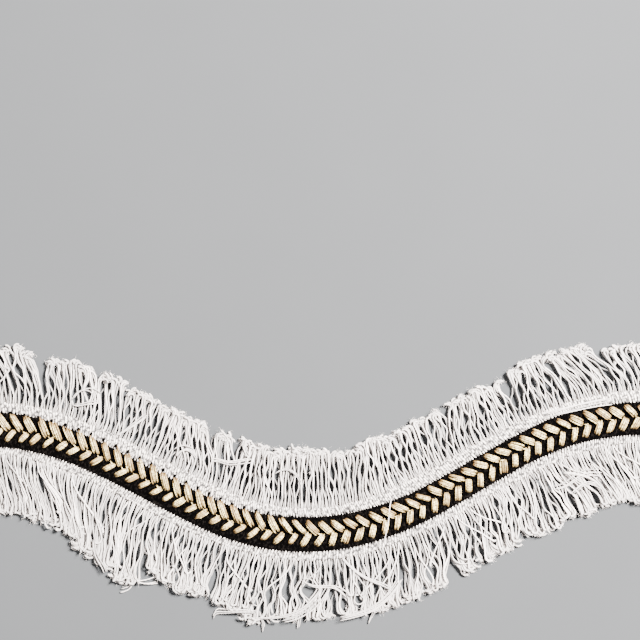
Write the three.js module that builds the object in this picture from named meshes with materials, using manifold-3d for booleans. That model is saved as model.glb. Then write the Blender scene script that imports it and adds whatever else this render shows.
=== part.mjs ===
// A cut length of fringed tape trim, lying flat in a soft wave.
// A narrow black band carries two rows of satin stitches in gold thread, set as a plait.
// Each long edge is a white woven heading, and its weft yarns run out as a fringe.
// Millimetres, +Z up. The origin is on the tape's underside, mid-length on its middle line.
import * as THREE from "three";
import { mergeVertices } from "three/addons/utils/BufferGeometryUtils.js";
import Module from "manifold-3d";

// Driving dimensions of the wave: one full cosine, a little skewed, over the length laid out.
const trimLength = 142;
const waveLength = 130;
const waveHeight = 11.15;
const waveSkew = 1.07;
const waveTilt = 0.017;

// Driving dimensions of the woven tape.
const bandWidth = 6.7;
const headingWidth = 2.0;
const tapeThickness = 1.0;
const seamGap = 0.3;
const stationCount = 52;

// Driving dimensions of the fringe, whose yarns lie on the table in locks.
const locksPerSide = 118;
const rootSunk = 0.4;
const rootHeight = 0.8;
const tipHeight = 0.45;
const lockFill = 0.7;
const widestTip = 1.05;
const leastTipSpacing = 0.5;
const endMargin = 0.7;
const gather = 0.42;
const gatherFrom = 0.6;
const tuftShoulder = 0.9;
const ragged = 0.35;
const lockSteps = [0, 0.3, 0.55, 0.8, 1];

// Driving dimensions of the stitching: one stitch of each row every stitchPitch.
// Towards the trim's left end the plait sits higher on the band, and the upper stitches are longer.
const stitchPitch = 2.633;
const stitchPhase = 0.42;
const stitchClearance = 0.3;
const stitchHeight = 0.6;
const stitchCrown = 0.6;
const upperStitch = {
  right: { outAlong: -1.65, outAcross: 2.62, inAlong: 0.57, inAcross: 0.4, width: 1.36 },
  left: { outAlong: -2.25, outAcross: 3.1, inAlong: 0.15, inAcross: 0.15, width: 1.42 },
};
const lowerStitch = {
  right: { outAlong: 0, outAcross: -2.25, inAlong: 1.35, inAcross: 0.15, width: 1.34 },
  left: { outAlong: -0.05, outAcross: -2.02, inAlong: 1.55, inAcross: 0.1, width: 1.16 },
};
const plaitRise = { from: 6, to: -12 };
const spineAcross = 0.3;
const spineWidth = 0.8;
const spineHeight = 0.35;

// The plait wanders a little: how far it has moved across the band at each length along the tape.
const plaitWander = [
  { along: -80, shift: -0.2 },
  { along: -64, shift: -0.2 },
  { along: -52, shift: 0.1 },
  { along: -28, shift: 0.05 },
  { along: -20, shift: -0.25 },
  { along: -12, shift: 0 },
  { along: -4, shift: 0 },
  { along: 4, shift: -0.2 },
  { along: 12, shift: -0.35 },
  { along: 20, shift: -0.55 },
  { along: 28, shift: -0.4 },
  { along: 44, shift: -0.22 },
  { along: 62, shift: -0.28 },
  { along: 80, shift: -0.28 },
];

// How the fringe is combed: how far the tips sweep along the tape, for roots at each length along it.
const upperComb = [
  { along: -80, sweep: -1.0 },
  { along: -70, sweep: -2.2 },
  { along: -58, sweep: -2.7 },
  { along: -46, sweep: -2.2 },
  { along: -38, sweep: -1.2 },
  { along: -30, sweep: -3.6 },
  { along: -25, sweep: -4.0 },
  { along: -20, sweep: -1.5 },
  { along: -10, sweep: -2.0 },
  { along: -2, sweep: 0.0 },
  { along: 6, sweep: 1.0 },
  { along: 10, sweep: 3.6 },
  { along: 15, sweep: 1.9 },
  { along: 26, sweep: 0.8 },
  { along: 34, sweep: 2.6 },
  { along: 42, sweep: 0.2 },
  { along: 50, sweep: 0.0 },
  { along: 58, sweep: -3.0 },
  { along: 65, sweep: -4.0 },
  { along: 80, sweep: -1.5 },
];
const lowerComb = [
  { along: -80, sweep: 1.0 },
  { along: -68, sweep: 4.6 },
  { along: -60, sweep: 6.8 },
  { along: -54, sweep: 7.2 },
  { along: -50, sweep: 6.5 },
  { along: -44, sweep: 4.4 },
  { along: -36, sweep: 3.7 },
  { along: -28, sweep: 2.4 },
  { along: -20, sweep: 1.4 },
  { along: -14, sweep: -0.2 },
  { along: 6, sweep: -0.6 },
  { along: 12, sweep: -2.2 },
  { along: 20, sweep: -1.4 },
  { along: 28, sweep: -3.6 },
  { along: 36, sweep: -2.0 },
  { along: 42, sweep: -3.2 },
  { along: 46, sweep: 0.8 },
  { along: 50, sweep: 3.6 },
  { along: 56, sweep: 4.2 },
  { along: 64, sweep: 5.4 },
  { along: 72, sweep: 2.0 },
  { along: 80, sweep: 0.0 },
];

// The fringe's tufts. start is where each one's tips begin, in mm along the middle line from mid-length,
// and reach is how far its tips stand from the middle line.
const upperTufts = [
  { start: -80.0, reach: 15.9 },
  { start: -63.3, reach: 16.0 },
  { start: -48.1, reach: 15.5 },
  { start: -40.5, reach: 15.6 },
  { start: -29.3, reach: 15.8 },
  { start: -23.4, reach: 16.5 },
  { start: -20.4, reach: 15.9 },
  { start: -11.9, reach: 17.1 },
  { start: 1.4, reach: 16.4 },
  { start: 7.2, reach: 15.5 },
  { start: 21.9, reach: 14.9 },
  { start: 34.6, reach: 15.2 },
  { start: 46.7, reach: 15.6 },
  { start: 62.3, reach: 14.8 },
];
const lowerTufts = [
  { start: -80.0, reach: 16.7 },
  { start: -50.7, reach: 16.6 },
  { start: -44.2, reach: 18.2 },
  { start: -40.7, reach: 18.9 },
  { start: -34.0, reach: 20.8 },
  { start: -29.8, reach: 16.9 },
  { start: -16.8, reach: 17.1 },
  { start: -11.8, reach: 18.8 },
  { start: -7.9, reach: 17.3 },
  { start: 1.4, reach: 17.3 },
  { start: 11.7, reach: 17.1 },
  { start: 20.6, reach: 15.9 },
  { start: 25.5, reach: 16.7 },
  { start: 35.5, reach: 17.1 },
  { start: 46.9, reach: 17.3 },
  { start: 55.0, reach: 16.9 },
];

const wasm = await Module();
wasm.setup();

// Height of the wave above its lowest point, and its slope and bend, at x.
const turn = (2 * Math.PI) / waveLength;
const waveY = (x) => waveHeight * (1 - Math.cos(turn * x)) + waveSkew * Math.sin(turn * x) + waveTilt * x;
const waveSlope = (x) => turn * (waveHeight * Math.sin(turn * x) + waveSkew * Math.cos(turn * x)) + waveTilt;
const waveBend = (x) => turn * turn * (waveHeight * Math.cos(turn * x) - waveSkew * Math.sin(turn * x));

// The middle line as a table of x against the length run along it, counted from mid-length.
// It goes on past the cut ends, where some of the fringe sweeps.
const tableStep = 0.05;
const tableEnd = trimLength / 2 + 12;
const middleLine = [{ x: 0, along: 0 }];
for (let x = tableStep; x <= tableEnd; x += tableStep) {
  const right = middleLine[middleLine.length - 1];
  const left = middleLine[0];
  middleLine.push({ x, along: right.along + Math.hypot(tableStep, waveY(x) - waveY(right.x)) });
  middleLine.unshift({ x: -x, along: left.along - Math.hypot(tableStep, waveY(-x) - waveY(left.x)) });
}

// The value in one column of a table at a value of another, on a straight line between its rows.
function readTable(table, value, from, to) {
  let low = 0;
  let high = table.length - 1;
  while (high - low > 1) {
    const middle = (low + high) >> 1;
    if (table[middle][from] > value) high = middle;
    else low = middle;
  }
  const share = (value - table[low][from]) / (table[high][from] - table[low][from]);
  return table[low][to] + share * (table[high][to] - table[low][to]);
}

const alongStart = readTable(middleLine, -trimLength / 2, "x", "along");
const alongEnd = readTable(middleLine, trimLength / 2, "x", "along");

// The tape's own axes at a length along it: a point on the middle line, and unit vectors along and across.
function station(along) {
  const x = readTable(middleLine, along, "along", "x");
  const slope = waveSlope(x);
  const run = Math.hypot(1, slope);
  return {
    point: new THREE.Vector2(x, waveY(x)),
    tangent: new THREE.Vector2(1 / run, slope / run),
    across: new THREE.Vector2(-slope / run, 1 / run),
    bend: waveBend(x) / run ** 3,
  };
}

// A point in plan, offset from a station along and across the tape.
function offsetPoint(at, along, across) {
  return at.point.clone().addScaledVector(at.tangent, along).addScaledVector(at.across, across);
}

// A ribbon that follows the wave between two offsets from the middle line, or from a line that is shifted
// across it by a given function of the length.
function ribbon(innerOffset, outerOffset, thickness, shiftAt = () => 0) {
  const [low, high] = [innerOffset, outerOffset].sort((a, b) => a - b);
  const lowSide = [];
  const highSide = [];
  for (let i = 0; i < stationCount; i += 1) {
    const along = THREE.MathUtils.lerp(alongStart, alongEnd, i / (stationCount - 1));
    const at = station(along);
    lowSide.push(offsetPoint(at, 0, low + shiftAt(along)));
    highSide.unshift(offsetPoint(at, 0, high + shiftAt(along)));
  }
  const outline = new THREE.Shape([...lowSide, ...highSide]);
  return new THREE.ExtrudeGeometry(outline, { depth: thickness, bevelEnabled: false });
}

// A closed skin through rings of points, each ring a list of as many [x, y, z] corners.
function skinOf(rings) {
  const corners = rings[0].length;
  const faces = [];
  for (let r = 0; r + 1 < rings.length; r += 1) {
    for (let c = 0; c < corners; c += 1) {
      const here = r * corners + c;
      const next = r * corners + ((c + 1) % corners);
      faces.push(here, next, next + corners, here, next + corners, here + corners);
    }
  }
  const last = (rings.length - 1) * corners;
  for (let c = 1; c + 1 < corners; c += 1) {
    faces.push(0, c + 1, c, last, last + c, last + c + 1);
  }
  const skin = new THREE.BufferGeometry();
  skin.setAttribute("position", new THREE.Float32BufferAttribute(rings.flat(2), 3));
  skin.setIndex(faces);
  return skin;
}

function solidFrom(geometry) {
  const bare = geometry.clone();
  bare.deleteAttribute("normal");
  bare.deleteAttribute("uv");
  const merged = mergeVertices(bare, 1e-4);
  const mesh = new wasm.Mesh({
    numProp: 3,
    vertProperties: new Float32Array(merged.attributes.position.array),
    triVerts: new Uint32Array(merged.index.array),
  });
  return new wasm.Manifold(mesh);
}

function geometryFrom(solid) {
  const mesh = solid.getMesh();
  const geometry = new THREE.BufferGeometry();
  geometry.setAttribute("position", new THREE.Float32BufferAttribute(mesh.vertProperties, 3));
  geometry.setIndex(new THREE.Uint32BufferAttribute(mesh.triVerts, 1));
  geometry.computeVertexNormals();
  return geometry;
}

function fused(solids) {
  return solids.reduce((whole, piece) => whole.add(piece));
}

// Where each lock of one side's fringe goes: its root and its tip, as lengths along the tape, and its reach.
// Tips gather towards the middle of their tuft, and keep a least spacing where the wave crowds them.
function layLocks(side, comb, tufts) {
  const first = alongStart + endMargin;
  const pitch = (alongEnd - endMargin - first) / (locksPerSide - 1);
  const locks = [];
  for (let i = 0; i < locksPerSide; i += 1) {
    const root = first + i * pitch;
    const combed = root + readTable(comb, root, "along", "sweep");
    const t = tufts.findLastIndex((tuft) => tuft.start <= combed);
    const tuftStart = Math.max(tufts[t].start, alongStart);
    const tuftEnd = t + 1 < tufts.length ? tufts[t + 1].start : alongEnd;
    const fromMiddle = combed - (tuftStart + tuftEnd) / 2;
    const halfTuft = (tuftEnd - tuftStart) / 2;
    const shoulder = tuftShoulder * Math.min(1, Math.abs(fromMiddle / halfTuft)) ** 4;
    const reach = tufts[t].reach - shoulder + ragged * Math.sin(2.4 * i + side);
    const spread = 1 - side * station(combed).bend * reach;
    const wanted = combed - gather * Math.max(0, spread - gatherFrom) * fromMiddle;
    const nearest = i ? locks[i - 1].tip + leastTipSpacing / spread : wanted;
    const tip = Math.max(wanted, nearest);
    const tipPitch = i ? (tip - locks[i - 1].tip) * spread : pitch;
    locks.push({ root, tip, reach, rootPitch: pitch, tipPitch });
  }
  return locks;
}

// How much of its sweep a lock has made at a share of its way out: it leaves the heading straight,
// bends over in its middle and straightens again at its tip.
const sway = (share) => share ** 2.5 * (3.5 - 2.5 * share);

// One lock of fringe: three-sided, its base level on the table, from the heading's edge to its tip.
function lockSkin(side, lock, edge, tipSpacing) {
  const rootWidth = lockFill * lock.rootPitch * (1 - side * station(lock.root).bend * edge);
  const tipWidth = Math.min(widestTip, lockFill * tipSpacing);
  const rings = lockSteps.map((share) => {
    const at = station(THREE.MathUtils.lerp(lock.root, lock.tip, sway(share)));
    const out = side * THREE.MathUtils.lerp(edge - rootSunk, lock.reach, share);
    const halfWidth = (side * THREE.MathUtils.lerp(rootWidth, tipWidth, share)) / 2;
    const left = offsetPoint(at, -halfWidth, out);
    const right = offsetPoint(at, halfWidth, out);
    const top = offsetPoint(at, 0, out);
    const height = THREE.MathUtils.lerp(rootHeight, tipHeight, share);
    return [[left.x, left.y, 0], [top.x, top.y, height], [right.x, right.y, 0]];
  });
  return skinOf(rings);
}

// A heading with its fringe: the locks' roots are sunk in the heading's outer edge.
function fringedHeading(side, comb, tufts) {
  const inner = bandWidth / 2 + seamGap / 2;
  const edge = bandWidth / 2 + headingWidth;
  const locks = layLocks(side, comb, tufts);
  const pieces = [solidFrom(ribbon(side * inner, side * edge, tapeThickness))];
  locks.forEach((lock, i) => {
    const next = locks[Math.min(i + 1, locks.length - 1)];
    pieces.push(solidFrom(lockSkin(side, lock, edge, Math.min(lock.tipPitch, next.tipPitch))));
  });
  return geometryFrom(fused(pieces));
}

// One satin stitch: a low grain-shaped pad between two plan points, drawn in over its crown.
function stitchSkin(at, stitch) {
  const from = offsetPoint(at, stitch.outAlong, stitch.outAcross);
  const to = offsetPoint(at, stitch.inAlong, stitch.inAcross);
  const middle = from.clone().add(to).multiplyScalar(0.5);
  const lengthwise = to.clone().sub(from).multiplyScalar(0.5);
  const halfWidth = stitch.width / 2;
  const sideways = new THREE.Vector2(-lengthwise.y, lengthwise.x).normalize().multiplyScalar(halfWidth);
  const grain = [[-1, 0], [-0.55, -1], [0.55, -1], [1, 0], [0.55, 1], [-0.55, 1]];
  const foot = tapeThickness + stitchClearance;
  const ringAt = (scale, z) =>
    grain.map(([l, w]) => {
      const p = middle.clone().addScaledVector(lengthwise, l * scale).addScaledVector(sideways, w * scale);
      return [p.x, p.y, z];
    });
  return skinOf([ringAt(1, foot), ringAt(stitchCrown, foot + stitchHeight)]);
}

// How far the plait has risen on the band, from 0 on the right to 1 on the left.
const plaitRisen = (along) => THREE.MathUtils.smoothstep(-along, -plaitRise.from, -plaitRise.to);

const plaitShift = (along) => readTable(plaitWander, along, "along", "shift");

// A row's stitch at a length along the tape: each size lies between the right end's and the left's, by how
// far the plait has risen there, and both ends follow its wander.
function stitchForm(row, along) {
  const risen = plaitRisen(along);
  const between = (size) => THREE.MathUtils.lerp(row.right[size], row.left[size], risen);
  const form = Object.fromEntries(Object.keys(row.right).map((size) => [size, between(size)]));
  form.outAcross += plaitShift(along);
  form.inAcross += plaitShift(along);
  return form;
}

// The plait: both rows of stitches, locked together by the line of thread down the middle.
function stitching() {
  const spine = ribbon(spineAcross - spineWidth / 2, spineAcross + spineWidth / 2, spineHeight, plaitShift);
  spine.translate(0, 0, tapeThickness + stitchClearance);
  const pieces = [solidFrom(spine)];
  const count = Math.floor((alongEnd - alongStart - 2 * stitchPitch) / stitchPitch) + 1;
  for (let i = 0; i < count; i += 1) {
    const along = (i - (count - 1) / 2) * stitchPitch + stitchPhase;
    const at = station(along);
    pieces.push(solidFrom(stitchSkin(at, stitchForm(upperStitch, along))));
    pieces.push(solidFrom(stitchSkin(at, stitchForm(lowerStitch, along))));
  }
  return geometryFrom(fused(pieces));
}

function groundBand() {
  const half = bandWidth / 2 - seamGap / 2;
  return ribbon(-half, half, tapeThickness);
}

const blackCotton = new THREE.MeshStandardMaterial({ color: 0x191716, roughness: 0.9, metalness: 0 });
const whiteCotton = new THREE.MeshStandardMaterial({ color: 0xe9e5e5, roughness: 0.85, metalness: 0 });
const goldThread = new THREE.MeshStandardMaterial({ color: 0xe2cb9c, roughness: 0.5, metalness: 0 });

function named(name, geometry, material) {
  const mesh = new THREE.Mesh(geometry, material);
  mesh.name = name;
  return mesh;
}

const trim = new THREE.Group();
trim.add(named("ground_band", groundBand(), blackCotton));
trim.add(named("fringe_upper", fringedHeading(1, upperComb, upperTufts), whiteCotton));
trim.add(named("fringe_lower", fringedHeading(-1, lowerComb, lowerTufts), whiteCotton));
trim.add(named("gold_stitching", stitching(), goldThread));

export default trim;
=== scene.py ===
# %% [markdown]
# # A fringed tape trim, lying in a wave
# The real trim is one narrow woven tape. White weft yarns cross it from edge to edge and run on past both
# edges as a fringe. Black warp yarns cover them down the middle, and two rows of gold satin stitches are
# sewn over the black as a plait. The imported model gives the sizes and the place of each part, so every
# piece here is worked out in the same frame. Lengths are in millimetres, and become metres where Blender is
# given them.

import bpy
import numpy as np
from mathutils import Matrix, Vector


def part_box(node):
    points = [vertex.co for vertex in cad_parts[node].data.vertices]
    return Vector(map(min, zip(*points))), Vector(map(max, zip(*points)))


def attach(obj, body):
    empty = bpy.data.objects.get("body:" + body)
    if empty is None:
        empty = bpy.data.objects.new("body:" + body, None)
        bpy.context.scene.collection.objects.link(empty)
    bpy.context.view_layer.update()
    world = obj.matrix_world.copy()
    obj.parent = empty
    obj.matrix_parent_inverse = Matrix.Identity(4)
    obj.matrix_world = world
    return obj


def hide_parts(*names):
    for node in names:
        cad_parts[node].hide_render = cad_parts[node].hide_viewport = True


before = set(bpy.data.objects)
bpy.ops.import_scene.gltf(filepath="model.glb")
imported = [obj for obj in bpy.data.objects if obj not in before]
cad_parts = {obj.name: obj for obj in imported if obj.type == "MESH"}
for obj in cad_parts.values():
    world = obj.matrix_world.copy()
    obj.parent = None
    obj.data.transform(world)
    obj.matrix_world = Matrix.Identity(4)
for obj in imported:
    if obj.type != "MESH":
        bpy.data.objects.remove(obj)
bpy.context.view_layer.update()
MM = 0.001
for node_name in sorted(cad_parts):
    low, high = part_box(node_name)
    print(node_name, [round((b - a) / MM, 1) for a, b in zip(low, high)], "mm")

# %% [markdown]
# ## Camera
# The photograph looks straight down on the trim, and its frame is 128 mm wide on the table. A long lens
# keeps the view flat. The trim crosses the lower half of the frame, so the view's centre lies above the
# trim.

# %% Camera
VIEW_WIDTH = 128.0
VIEW_CENTRE = (0.0, 42.9)
LENS = 100.0
SENSOR = 36.0
TRIM_TOP = 1.0

camera_data = bpy.data.cameras.new("camera")
camera_data.lens = LENS
camera_data.sensor_width = SENSOR
camera = bpy.data.objects.new("camera", camera_data)
camera_height = TRIM_TOP + VIEW_WIDTH * LENS / SENSOR
camera.location = (VIEW_CENTRE[0] * MM, VIEW_CENTRE[1] * MM, camera_height * MM)
bpy.context.scene.collection.objects.link(camera)
bpy.context.scene.camera = camera
print("camera is", round(camera_height), "mm above the table")

# %% [markdown]
# ## The wave
# The tape bends sideways on the table in one long wave. Its middle line is a cosine with a little sine and
# a little tilt. Everything on the tape is placed by two numbers, the length along the middle line and the
# distance across it, so the pattern can be laid out straight and the wave carries it into place.

# %% Follow the wave
TRIM_LENGTH = 142.0
WAVE_LENGTH = 130.0
WAVE_HEIGHT = 11.15
WAVE_SKEW = 1.07
WAVE_TILT = 0.017
TURN = 2 * np.pi / WAVE_LENGTH
TABLE_END = TRIM_LENGTH / 2 + 12
TABLE_STEP = 0.05


def wave_y(x):
    """Height of the middle line: height * (1 - cos) + skew * sin + tilt * x."""
    return WAVE_HEIGHT * (1 - np.cos(TURN * x)) + WAVE_SKEW * np.sin(TURN * x) + WAVE_TILT * x


def wave_slope(x):
    """The first derivative of wave_y."""
    return TURN * (WAVE_HEIGHT * np.sin(TURN * x) + WAVE_SKEW * np.cos(TURN * x)) + WAVE_TILT


def wave_bend(x):
    """Curvature: the second derivative over (1 + slope squared) to the power 3/2."""
    second = TURN ** 2 * (WAVE_HEIGHT * np.cos(TURN * x) - WAVE_SKEW * np.sin(TURN * x))
    return second / np.hypot(1, wave_slope(x)) ** 3


table_x = np.arange(-TABLE_END, TABLE_END + TABLE_STEP, TABLE_STEP)
run_between = np.hypot(np.diff(table_x), np.diff(wave_y(table_x)))
table_along = np.concatenate([[0.0], np.cumsum(run_between)])
table_along -= np.interp(0.0, table_x, table_along)
ALONG_START, ALONG_END = np.interp([-TRIM_LENGTH / 2, TRIM_LENGTH / 2], table_x, table_along)


def on_tape(along, across):
    """Plan position: the middle line's point at that length, plus across times its unit normal."""
    x = np.interp(along, table_along, table_x)
    run = np.hypot(1, wave_slope(x))
    return x - across * wave_slope(x) / run, wave_y(x) + across / run


def spread_at(along, across):
    """How much longer a line across millimetres out is than the middle line: 1 - bend * across."""
    return 1 - wave_bend(np.interp(along, table_along, table_x)) * across


print("the tape runs from", round(ALONG_START, 2), "to", round(ALONG_END, 2), "mm")

# %% [markdown]
# ## From arrays to meshes
# A yarn, a strand of thread or a rib is a thin rod along a path, and there are thousands. So the paths are
# whole arrays, and one function carries an elliptical section along all of them at once. It gives points,
# faces and texture coordinates, the texture running along the rod and round it.

# %% Rods along paths
UP = np.array([0.0, 0.0, 1.0])
UV_SHIFT = 7.31  # mm between the starts of two rods' patterns, so that no two rods look alike


def walls_between(here, ahead):
    """Faces with four corners between each ring of corner numbers and the ring ahead of it."""
    return np.stack([here, ahead, np.roll(ahead, -1, -1), np.roll(here, -1, -1)], axis=-1).reshape(-1, 4)


def rods(paths, half_width, half_height, sides):
    """Closed rods with an elliptical section. paths is (rods, rings, 3), and the halves are (rods, rings).

    A corner is centre + half_width * cos(angle) * sideways + half_height * sin(angle) * upward. Sideways is
    level and square to the path, and upward is square to both. Each end is closed by a flat cap.
    The texture's first coordinate is the length run, in millimetres, and its second is the turn, 0 to 1."""
    count, rings = paths.shape[:2]
    tangent = np.gradient(paths, axis=1)
    tangent /= np.linalg.norm(tangent, axis=2, keepdims=True)
    sideways = np.cross(tangent, UP)
    sideways /= np.linalg.norm(sideways, axis=2, keepdims=True)
    upward = np.cross(sideways, tangent)
    angle = 2 * np.pi * (np.arange(sides) + 0.5) / sides
    wide = half_width[:, :, None, None] * np.cos(angle)[:, None] * sideways[:, :, None]
    tall = half_height[:, :, None, None] * np.sin(angle)[:, None] * upward[:, :, None]
    points = (paths[:, :, None] + wide + tall).reshape(-1, 3)

    index = np.arange(count * rings * sides).reshape(count, rings, sides)
    walls = walls_between(index[:, :-1], index[:, 1:])
    caps = np.concatenate([index[:, 0], index[:, -1, ::-1]])

    step = np.linalg.norm(np.diff(paths, axis=1), axis=2)
    length = np.concatenate([np.zeros((count, 1)), np.cumsum(step, axis=1)], axis=1)
    length += UV_SHIFT * np.arange(count)[:, None]
    turn = np.arange(sides) / sides
    near = np.repeat(length[:, :-1, None], sides, axis=2)
    far = np.repeat(length[:, 1:, None], sides, axis=2)
    left = np.broadcast_to(turn, near.shape)
    wall_uv = np.stack([near, left, far, left, far, left + 1 / sides, near, left + 1 / sides], axis=-1)
    cap_uv = np.stack([np.repeat(length[:, [0, -1]].T.reshape(-1, 1), sides, axis=1),
                       np.broadcast_to(turn, (2 * count, sides))], axis=-1)
    corner_uv = np.concatenate([wall_uv.reshape(-1, 2), cap_uv.reshape(-1, 2)])
    return {"points": points, "faces": [walls, caps], "uv": corner_uv}


sample = rods(np.linspace((0.0, 0.0, 0.0), (2.0, 0.0, 0.0), 3)[None], np.ones((1, 3)), np.ones((1, 3)), 6)
print("a rod with 3 rings of 6 corners has", len(sample["points"]), "points")

# %% [markdown]
# ## One mesh object from arrays
# A mesh can be filled point by point, or with foreach_set, which takes a whole array at once and is far
# faster for a few hundred thousand faces. The values that a material needs, such as how bright each yarn
# is, ride on the points under a name.

# %% One mesh object from arrays
def add_piece(name, shape, material, **point_values):
    """A smooth mesh object at the origin, with one texture map and one named value a point."""
    corners = np.concatenate([face.ravel() for face in shape["faces"]])
    sizes = np.concatenate([np.full(len(face), face.shape[1]) for face in shape["faces"]])
    mesh = bpy.data.meshes.new(name)
    mesh.vertices.add(len(shape["points"]))
    mesh.vertices.foreach_set("co", (shape["points"] * MM).astype(np.float32).ravel())
    mesh.loops.add(len(corners))
    mesh.loops.foreach_set("vertex_index", corners.astype(np.int32))
    mesh.polygons.add(len(sizes))
    mesh.polygons.foreach_set("loop_start", (np.cumsum(sizes) - sizes).astype(np.int32))
    mesh.uv_layers.new(name="UVMap").data.foreach_set("uv", shape["uv"].astype(np.float32).ravel())
    for value_name, values in point_values.items():
        attribute = mesh.attributes.new(value_name, "FLOAT", "POINT")
        attribute.data.foreach_set("value", np.asarray(values, np.float32))
    mesh.update(calc_edges=True)
    mesh.shade_smooth()
    mesh.materials.append(material)
    piece = bpy.data.objects.new(name, mesh)
    bpy.context.scene.collection.objects.link(piece)
    print(name, "has", int((sizes - 2).sum()), "triangles")
    return piece


def add_rods(name, paths, half_width, half_height, sides, material, **ring_values):
    """Rods as one piece. A value is given for each ring, for each rod or once for all."""
    point_values = {value_name: np.repeat(np.broadcast_to(values, half_width.shape), sides)
                    for value_name, values in ring_values.items()}
    return add_piece(name, rods(paths, half_width, half_height, sides), material, **point_values)


# %% [markdown]
# ## Shader helpers
# Materials are node trees, and a tree that is written node by node is hard to read. So short functions add
# a node and fill its sockets with numbers or links, do one step of arithmetic, or blend two colours. Each
# gives back the output that the next step needs, and a material then reads like a few lines of sums.

# %% Nodes and sums
def add_node(tree, kind, sockets=None, **settings):
    """A new node, with each named or numbered socket set to a value or linked to another node's output."""
    made = tree.nodes.new(kind)
    for name, value in settings.items():
        setattr(made, name, value)
    for socket, value in (sockets or {}).items():
        if isinstance(value, bpy.types.NodeSocket):
            tree.links.new(value, made.inputs[socket])
        else:
            made.inputs[socket].default_value = value
    return made


def arithmetic(tree, operation, *terms):
    """The result of one Math node, whose terms are numbers or other nodes' outputs."""
    return add_node(tree, "ShaderNodeMath", dict(enumerate(terms)), operation=operation).outputs[0]


def times(tree, first, second):
    """first times second."""
    return arithmetic(tree, "MULTIPLY", first, second)


def faded(tree, value, start, end):
    """0 up to start, 1 from end on, and a smooth step between."""
    sockets = {"Value": value, "From Min": start, "From Max": end}
    return add_node(tree, "ShaderNodeMapRange", sockets, interpolation_type="SMOOTHSTEP").outputs[0]


def blend_colour(tree, factor, first, second):
    """first where factor is 0, second where it is 1. A Mix node's colours are inputs 6 and 7 and output 2."""
    return add_node(tree, "ShaderNodeMix", {0: factor, 6: first, 7: second}, data_type="RGBA").outputs[2]


def attribute_value(tree, name):
    """A named value that the mesh carries."""
    return add_node(tree, "ShaderNodeAttribute", attribute_name=name).outputs["Fac"]


def own_map(tree):
    """The two coordinates of the piece's own texture map."""
    place = add_node(tree, "ShaderNodeSeparateXYZ", {0: add_node(tree, "ShaderNodeUVMap").outputs[0]})
    return place.outputs["X"], place.outputs["Y"]


# %% [markdown]
# ## A material to start from
# Every finish here is one Principled BSDF. What is the same all over it is a plain number on its own
# socket. What changes over the surface is a colour or a bump that nodes work out.

# %% Materials and bumps
def new_material(name, **plain):
    """A material with one Principled BSDF, and the values that are the same all over set on its sockets."""
    material = bpy.data.materials.new(name)
    material.use_nodes = True
    shader = material.node_tree.nodes["Principled BSDF"]
    for socket, value in plain.items():
        shader.inputs[socket.replace("_", " ")].default_value = value
    return material, material.node_tree, shader


def raise_surface(tree, shader, height, distance):
    """Bumps the shader's surface by a height of 0 to 1, where 1 stands distance millimetres proud."""
    bump = add_node(tree, "ShaderNodeBump", {"Height": height, "Distance": distance * MM, "Strength": 1.0})
    tree.links.new(bump.outputs[0], shader.inputs["Normal"])


# %% [markdown]
# ## Effects that two materials share
# A spun yarn shows its twist close up, and so does the gold thread. Both are also painted darker down their
# flanks, a painted shade for where the next yarn or strand lies against them. Each effect is a node group
# with named inputs, built once, and both materials place it with their own values.

# %% Node groups
def new_group(name, inputs, outputs):
    """An empty shader node group with float inputs, each with its default, and float outputs."""
    group = bpy.data.node_groups.new(name, "ShaderNodeTree")
    for socket_name, default in inputs.items():
        socket = group.interface.new_socket(socket_name, in_out="INPUT", socket_type="NodeSocketFloat")
        socket.default_value = default
    for socket_name in outputs:
        group.interface.new_socket(socket_name, in_out="OUTPUT", socket_type="NodeSocketFloat")
    return group, group.nodes.new("NodeGroupInput"), group.nodes.new("NodeGroupOutput")


def placed(tree, group, **values):
    """The outputs of a group placed in a material, with its inputs set to numbers or linked."""
    sockets = {name.replace("_", " "): value for name, value in values.items()}
    return add_node(tree, "ShaderNodeGroup", sockets, node_tree=group).outputs


# %% The twist of spun yarn
FIBRE_ALONG = 0.35  # noise cells a millimetre along the yarn: few, so that a fibre is long


def make_twist_group():
    """Ply: a sine of (length / lay + plies * turn). Fibre: noise drawn out along the same slant."""
    inputs = {"Length": 0.0, "Turn": 0.0, "Lay": 0.9, "Plies": 2.0, "Fibre Scale": 9.0}
    group, given, result = new_group("spun_twist", inputs, ["Ply", "Fibre"])
    length = given.outputs["Length"]
    strand = times(group, given.outputs["Turn"], given.outputs["Plies"])
    wound = arithmetic(group, "ADD", arithmetic(group, "DIVIDE", length, given.outputs["Lay"]), strand)
    wave = arithmetic(group, "SINE", times(group, wound, 2 * np.pi))
    ply = arithmetic(group, "MULTIPLY_ADD", wave, 0.5, 0.5)
    slant = add_node(group, "ShaderNodeCombineXYZ", {
        "X": times(group, length, FIBRE_ALONG),
        "Y": times(group, wound, given.outputs["Fibre Scale"])})
    fibre = add_node(group, "ShaderNodeTexNoise", {"Vector": slant.outputs[0], "Scale": 1.0, "Detail": 3.0})
    group.links.new(ply, result.inputs["Ply"])
    group.links.new(fibre.outputs["Fac"], result.inputs["Fibre"])
    return group


twist_group = make_twist_group()
print(twist_group.name, "has", len(twist_group.nodes), "nodes")


# %% The painted shade down a flank
def make_flank_group():
    """Shade, a painted shade down a rod's flanks: amount times a smooth step of the lean, from 0 where the
    normal's upward part is Level to 1 where it is Steep."""
    group, given, result = new_group("flank_shade", {"Level": 0.93, "Steep": 0.5, "Amount": 0.8}, ["Shade"])
    normal = add_node(group, "ShaderNodeNewGeometry").outputs["Normal"]
    upward = add_node(group, "ShaderNodeSeparateXYZ", {0: normal}).outputs["Z"]
    lean = faded(group, upward, given.outputs["Level"], given.outputs["Steep"])
    group.links.new(times(group, lean, given.outputs["Amount"]), result.inputs["Shade"])
    return group


flank_group = make_flank_group()
print(flank_group.name, "has", len(flank_group.nodes), "nodes")


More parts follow.
